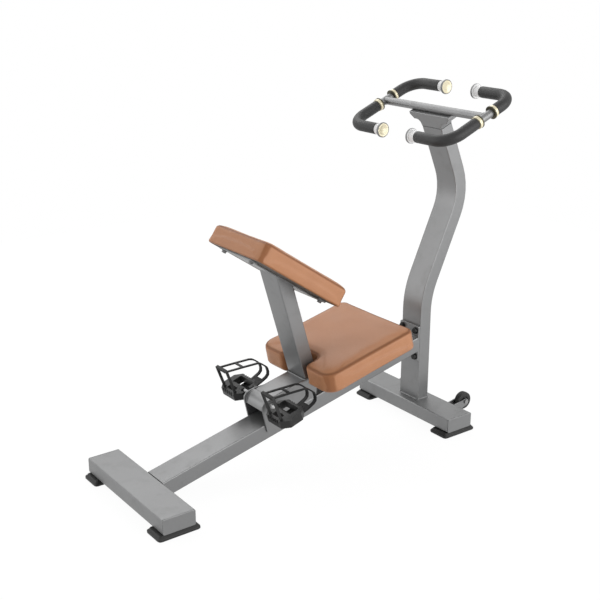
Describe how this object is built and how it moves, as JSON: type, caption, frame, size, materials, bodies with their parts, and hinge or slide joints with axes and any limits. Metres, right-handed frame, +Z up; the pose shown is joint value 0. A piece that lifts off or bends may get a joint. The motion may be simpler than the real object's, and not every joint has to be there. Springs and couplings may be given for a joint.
{
  "type": "stretching machine",
  "caption": "Freestanding stretch bench: sloped upper pad, notched kneeling cushion, strapped foot pedals, a bent column and two C-shaped padded handles.",
  "frame": {"origin": "on the floor, in the middle of the outer box seen from above", "axes": "+X runs from the front crossbar to the column and the wheels, +Y to the machine's left side, +Z up"},
  "size_m": [1.4417, 0.547, 1.2262],
  "materials": {
    "frame_paint": "silver-grey metallic powder coat, satin",
    "black_plastic": "moulded black plastic, fine matt texture",
    "black_foam": "closed-cell black grip foam, matt",
    "black_steel": "black-oxide steel fasteners",
    "bright_steel": "plain ground steel",
    "pale_gold": "pale cream-gold anodised aluminium",
    "tan_leather": "tan vinyl leather cover, fine grain, satin",
    "dark_board": "dark plywood cushion board",
    "tyre_rubber": "black solid rubber tread"
  },
  "bodies": {
    "frame": {"collar_front_left": "pale_gold", "collar_front_right": "pale_gold", "collar_rear_left": "pale_gold", "collar_rear_right": "pale_gold", "column": "frame_paint", "column_saddle": "frame_paint", "cross_tube": "frame_paint", "flange_bolt_lower_left": "black_steel", "flange_bolt_lower_right": "black_steel", "flange_bolt_upper_left": "black_steel", "flange_bolt_upper_right": "black_steel", "foot_bracket": "frame_paint", "front_bar_cap_left": "frame_paint", "front_bar_cap_right": "frame_paint", "front_crossbar": "frame_paint", "front_foot_left": "black_plastic", "front_foot_right": "black_plastic", "grip_front_left": "black_foam", "grip_front_right": "black_foam", "grip_rear_left": "black_foam", "grip_rear_right": "black_foam", "handle_cap_front_left": "pale_gold", "handle_cap_front_right": "pale_gold", "handle_cap_rear_left": "pale_gold", "handle_cap_rear_right": "pale_gold", "handle_tube_left": "frame_paint", "handle_tube_right": "frame_paint", "main_beam": "frame_paint", "pad_board": "dark_board", "pad_bolt_lower_left": "black_steel", "pad_bolt_lower_right": "black_steel", "pad_bolt_upper_left": "black_steel", "pad_bolt_upper_right": "black_steel", "pad_cushion": "tan_leather", "pad_post": "frame_paint", "pedal_spindle_left": "bright_steel", "pedal_spindle_right": "bright_steel", "post_channel": "frame_paint", "rear_bar_cap_left": "frame_paint", "rear_bar_cap_right": "frame_paint", "rear_crossbar": "frame_paint", "rear_foot_left": "black_plastic", "rear_foot_right": "black_plastic", "seat_board": "dark_board", "seat_bolt_left": "black_steel", "seat_bolt_right": "black_steel", "seat_bracket": "frame_paint", "seat_cushion": "tan_leather", "wheel_axle_left": "bright_steel", "wheel_axle_right": "bright_steel", "wheel_fork_left": "frame_paint", "wheel_fork_right": "frame_paint"},
    "left_pedal": {"pedal_left": "black_plastic", "toe_clip_left": "black_plastic", "toe_strap_left": "black_plastic"},
    "right_pedal": {"pedal_right": "black_plastic", "toe_clip_right": "black_plastic", "toe_strap_right": "black_plastic"},
    "left_wheel": {"wheel_left": "tyre_rubber"},
    "right_wheel": {"wheel_right": "tyre_rubber"}
  },
  "joints": [
    {"name": "left_pedal_spin", "type": "hinge", "parent": "frame", "child": "left_pedal", "pos_m": [-0.1786, 0.137, 0.228], "axis": [0, 1, 0], "continuous": true},
    {"name": "right_pedal_spin", "type": "hinge", "parent": "frame", "child": "right_pedal", "pos_m": [-0.1786, -0.137, 0.228], "axis": [0, 1, 0], "continuous": true},
    {"name": "left_wheel_spin", "type": "hinge", "parent": "frame", "child": "left_wheel", "pos_m": [0.6432, 0.138, 0.062], "axis": [0, 1, 0], "continuous": true},
    {"name": "right_wheel_spin", "type": "hinge", "parent": "frame", "child": "right_wheel", "pos_m": [0.6432, -0.138, 0.062], "axis": [0, 1, 0], "continuous": true}
  ]
}
